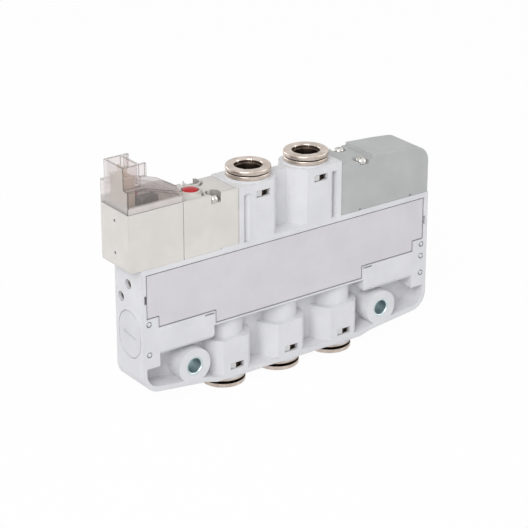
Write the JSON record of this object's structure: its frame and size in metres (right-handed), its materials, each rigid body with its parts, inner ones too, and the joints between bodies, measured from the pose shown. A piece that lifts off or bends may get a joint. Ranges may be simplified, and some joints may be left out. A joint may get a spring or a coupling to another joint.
{
  "type": "five-way solenoid valve",
  "caption": "Slim five-way air valve with push-in tube fittings above and below, a pilot solenoid with plug socket and red manual button, and through holes for mounting.",
  "frame": {"origin": "centre of the supply port's mouth, in the plane where the three lower fittings end, halfway between the front and back faces", "axes": "+X along the valve, from the pilot solenoid's end to the end cover; +Y from the front face, which has the plate, to the back; +Z from the lower ports to the upper ports"},
  "size_m": [0.1163, 0.015, 0.0819],
  "materials": {
    "body_resin": "moulded glass-filled resin, light grey",
    "plate_grey": "smooth lilac-grey plate",
    "housing_beige": "moulded resin, warm light grey",
    "end_grey": "moulded resin, greenish grey",
    "nickel_brass": "turned brass, nickel-plated",
    "bush_steel": "steel tube, bright zinc-plated",
    "screw_steel": "cross-slotted screws, zinc-plated",
    "spring_steel": "spring steel",
    "magnet_steel": "soft magnetic steel",
    "spool_alloy": "turned and ground",
    "inner_resin": "moulded black resin",
    "seal_rubber": "nitrile rubber",
    "button_red": "moulded red resin",
    "winding_copper": "enamelled copper wire",
    "cover_clear": "translucent smoky resin",
    "board_green": "glass-fibre board",
    "header_white": "moulded off-white resin",
    "contact_gold": "square pins, gold-plated",
    "lamp_red": "clear red lens",
    "component_black": "moulded component"
  },
  "bodies": {
    "valve": {"valve_body": "body_resin", "face_plate": "plate_grey", "mount_bush_left": "bush_steel", "mount_bush_right": "bush_steel", "pilot_end_cap": "body_resin", "return_end_cap": "body_resin", "end_screws": "screw_steel", "pilot_adapter": "housing_beige", "adapter_gasket": "seal_rubber", "override_spring": "spring_steel", "adapter_screws": "screw_steel", "coil_housing": "housing_beige", "coil_bobbin": "inner_resin", "coil_winding": "winding_copper", "magnet_yoke": "magnet_steel", "fixed_core": "magnet_steel", "valve_seat": "nickel_brass", "armature_spring": "spring_steel", "connector_cover": "cover_clear", "circuit_board": "board_green", "pin_header": "header_white", "contact_pins": "contact_gold", "indicator_led": "lamp_red", "surge_suppressor": "component_black", "end_cover": "end_grey", "cover_screws": "screw_steel", "fitting_collar_a": "nickel_brass", "retaining_clip_a": "spring_steel", "chuck_a": "spring_steel", "tube_seal_a": "seal_rubber", "fitting_collar_b": "nickel_brass", "retaining_clip_b": "spring_steel", "chuck_b": "spring_steel", "tube_seal_b": "seal_rubber", "fitting_collar_ea": "nickel_brass", "retaining_clip_ea": "spring_steel", "chuck_ea": "spring_steel", "tube_seal_ea": "seal_rubber", "fitting_collar_p": "nickel_brass", "retaining_clip_p": "spring_steel", "chuck_p": "spring_steel", "tube_seal_p": "seal_rubber", "fitting_collar_eb": "nickel_brass", "retaining_clip_eb": "spring_steel", "chuck_eb": "spring_steel", "tube_seal_eb": "seal_rubber"},
    "spool_group": {"spool": "spool_alloy", "spool_seals": "seal_rubber", "pilot_piston": "inner_resin", "pilot_piston_seal": "seal_rubber", "return_piston": "inner_resin", "return_piston_seal": "seal_rubber"},
    "plunger": {"armature": "magnet_steel"},
    "button": {"override_button": "button_red", "override_oring": "seal_rubber"},
    "ring_a": {"release_ring_a": "nickel_brass"},
    "ring_b": {"release_ring_b": "nickel_brass"},
    "ring_ea": {"release_ring_ea": "nickel_brass"},
    "ring_p": {"release_ring_p": "nickel_brass"},
    "ring_eb": {"release_ring_eb": "nickel_brass"}
  },
  "joints": [
    {"name": "spool_slide", "type": "slide", "parent": "valve", "child": "spool_group", "axis": [1, 0, 0], "range_m": [0, 0.003]},
    {"name": "armature_slide", "type": "slide", "parent": "valve", "child": "plunger", "axis": [0, 0, 1], "range_m": [0, 0.0009], "stiffness_N_per_m": 400, "springref_m": -0.002, "deforming": ["armature_spring"]},
    {"name": "override_press", "type": "slide", "parent": "valve", "child": "button", "axis": [0, 0, -1], "range_m": [0, 0.001], "stiffness_N_per_m": 800, "springref_m": -0.001, "deforming": ["override_spring"]},
    {"name": "release_a", "type": "slide", "parent": "valve", "child": "ring_a", "axis": [0, 0, -1], "range_m": [0, 0.0003], "stiffness_N_per_m": 2000, "springref_m": -0.0015},
    {"name": "release_b", "type": "slide", "parent": "valve", "child": "ring_b", "axis": [0, 0, -1], "range_m": [0, 0.0003], "stiffness_N_per_m": 2000, "springref_m": -0.0015},
    {"name": "release_ea", "type": "slide", "parent": "valve", "child": "ring_ea", "axis": [0, 0, 1], "range_m": [0, 0.0006], "stiffness_N_per_m": 2000, "springref_m": -0.0015},
    {"name": "release_p", "type": "slide", "parent": "valve", "child": "ring_p", "axis": [0, 0, 1], "range_m": [0, 0.0006], "stiffness_N_per_m": 2000, "springref_m": -0.0015},
    {"name": "release_eb", "type": "slide", "parent": "valve", "child": "ring_eb", "axis": [0, 0, 1], "range_m": [0, 0.0006], "stiffness_N_per_m": 2000, "springref_m": -0.0015}
  ]
}
